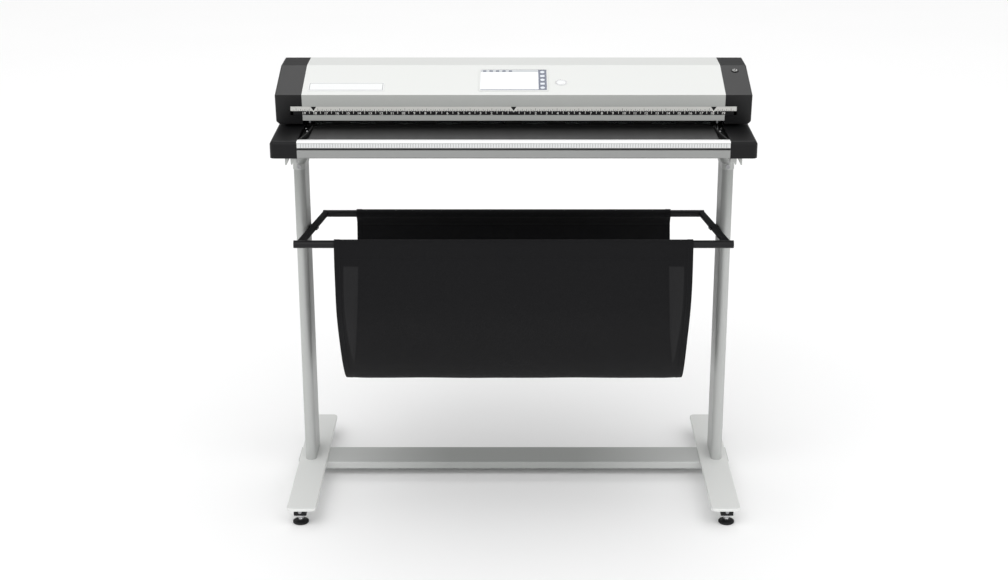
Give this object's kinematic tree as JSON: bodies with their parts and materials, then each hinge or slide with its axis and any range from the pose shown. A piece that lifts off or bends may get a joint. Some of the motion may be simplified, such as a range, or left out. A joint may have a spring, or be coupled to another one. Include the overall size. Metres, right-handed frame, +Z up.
{
  "type": "wide-format sheet scanner on stand",
  "caption": "Wide sheet-feed scanner with a hinged white lid, feed table and screen, on a two-leg stand with a cloth catch basket.",
  "frame": {"origin": "on the floor, in the middle of the width and of the overall depth", "axes": "+Z up, +X to the right seen from the feed side, +Y away from the feed side"},
  "size_m": [1.095, 0.5946, 1.036],
  "materials": {
    "silver_aluminium": "satin",
    "pale_steel": "satin",
    "grey_bar": "satin",
    "bright_steel": "polished",
    "black_plastic": "matte",
    "cap_plastic": "fine texture",
    "white_paint": "satin",
    "grey_paint": "satin",
    "black_metal": "satin",
    "zinc_steel": "plain",
    "scale_white": "ribbed",
    "guide_grey": "matte",
    "glass": "clear",
    "roller_rubber": "matte",
    "brass": "plain",
    "board_green": "board",
    "screen": "glossy",
    "ruler_metal": "satin",
    "white_foam": "smooth",
    "cloth_black": "woven",
    "tube_black": "semi-gloss",
    "badge_silver": "gloss"
  },
  "bodies": {
    "frame": {"foot_plate_left": "pale_steel", "foot_plate_right": "pale_steel", "leg_left": "silver_aluminium", "leg_right": "silver_aluminium", "support_arm_left": "silver_aluminium", "support_arm_right": "silver_aluminium", "crossbar": "grey_bar", "stand_bolts": "bright_steel", "glide_inserts": "black_plastic", "base_chassis": "zinc_steel", "feed_table": "black_metal", "front_rail": "silver_aluminium", "scale_strip": "scale_white", "base_cap_left": "cap_plastic", "base_cap_right": "cap_plastic", "paper_guides": "guide_grey", "rear_cover": "black_metal", "scan_glass": "glass", "camera_bar": "black_metal", "roller_bearings": "bright_steel", "drive_belt": "roller_rubber", "drive_motor": "black_metal", "main_board": "board_green", "power_supply": "zinc_steel", "fan_housing": "black_plastic", "connector_panel": "zinc_steel", "rear_sockets": "black_plastic", "base_hinge_lugs": "zinc_steel", "hinge_pins": "bright_steel", "basket_front_tube": "tube_black", "basket_rear_tube": "tube_black", "basket_side_tubes": "tube_black", "basket_fittings": "black_plastic", "basket_bag": "cloth_black"},
    "lid": {"lid_cover": "white_paint", "lid_cap_left": "cap_plastic", "lid_cap_right": "cap_plastic", "lid_front_panel": "grey_paint", "ruler_strip": "ruler_metal", "pattern_band": "black_plastic", "lid_chassis": "zinc_steel", "pressure_plate": "white_foam", "screen_bezel": "white_paint", "screen_display": "screen", "trim_plates": "badge_silver", "lid_hinge_leaves": "zinc_steel"},
    "power_button": {"power_button": "cap_plastic"},
    "front_drive": {"front_drive_roller": "roller_rubber", "front_roller_pulley": "zinc_steel"},
    "rear_drive": {"rear_drive_roller": "roller_rubber", "rear_roller_pulley": "zinc_steel"},
    "motor_pulley": {"motor_pulley": "brass"},
    "front_pinch": {"front_pinch_rollers": "roller_rubber"},
    "rear_pinch": {"rear_pinch_rollers": "roller_rubber"},
    "fan_rotor": {"fan_rotor": "black_plastic"},
    "rocker_switch": {"rocker_switch": "black_plastic"},
    "glide_front_left": {"glide_front_left": "black_plastic"},
    "glide_front_right": {"glide_front_right": "black_plastic"},
    "glide_rear_left": {"glide_rear_left": "black_plastic"},
    "glide_rear_right": {"glide_rear_right": "black_plastic"}
  },
  "joints": [
    {"name": "lid_open", "type": "hinge", "parent": "frame", "child": "lid", "pos_m": [0, 0.282, 0.93], "axis": [-1, 0, 0], "range_deg": [0, 55]},
    {"name": "power_button_press", "type": "slide", "parent": "lid", "child": "power_button", "axis": [0, 0.2803, -0.9599], "range_m": [0, 0.0012], "stiffness_N_per_m": 400, "springref_m": -0.001},
    {"name": "front_drive_spin", "type": "hinge", "parent": "frame", "child": "front_drive", "pos_m": [0, -0.06, 0.9053], "axis": [1, 0, 0], "continuous": true},
    {"name": "rear_drive_spin", "type": "hinge", "parent": "frame", "child": "rear_drive", "pos_m": [0, 0.08, 0.9053], "axis": [1, 0, 0], "continuous": true},
    {"name": "motor_spin", "type": "hinge", "parent": "frame", "child": "motor_pulley", "pos_m": [0.469, 0.142, 0.872], "axis": [1, 0, 0], "continuous": true},
    {"name": "front_pinch_spin", "type": "hinge", "parent": "lid", "child": "front_pinch", "pos_m": [0, -0.06, 0.9274], "axis": [1, 0, 0], "continuous": true},
    {"name": "rear_pinch_spin", "type": "hinge", "parent": "lid", "child": "rear_pinch", "pos_m": [0, 0.08, 0.9274], "axis": [1, 0, 0], "continuous": true},
    {"name": "fan_spin", "type": "hinge", "parent": "frame", "child": "fan_rotor", "pos_m": [0.33, 0.2594, 0.878], "axis": [0, -1, 0], "continuous": true},
    {"name": "rocker_tilt", "type": "hinge", "parent": "frame", "child": "rocker_switch", "pos_m": [-0.36, 0.2755, 0.878], "axis": [-1, 0, 0], "range_deg": [0, 16]},
    {"name": "glide_front_left_height", "type": "slide", "parent": "frame", "child": "glide_front_left", "axis": [0, 0, 1], "range_m": [-0.012, 0]},
    {"name": "glide_front_right_height", "type": "slide", "parent": "frame", "child": "glide_front_right", "axis": [0, 0, 1], "range_m": [-0.012, 0]},
    {"name": "glide_rear_left_height", "type": "slide", "parent": "frame", "child": "glide_rear_left", "axis": [0, 0, 1], "range_m": [-0.012, 0]},
    {"name": "glide_rear_right_height", "type": "slide", "parent": "frame", "child": "glide_rear_right", "axis": [0, 0, 1], "range_m": [-0.012, 0]}
  ],
  "couplings": [
    {"joint": "rear_drive_spin", "follows": "front_drive_spin", "ratio": 1},
    {"joint": "motor_spin", "follows": "front_drive_spin", "ratio": 1.5},
    {"joint": "front_pinch_spin", "follows": "front_drive_spin", "ratio": -1.8667},
    {"joint": "rear_pinch_spin", "follows": "front_drive_spin", "ratio": -1.8667}
  ]
}
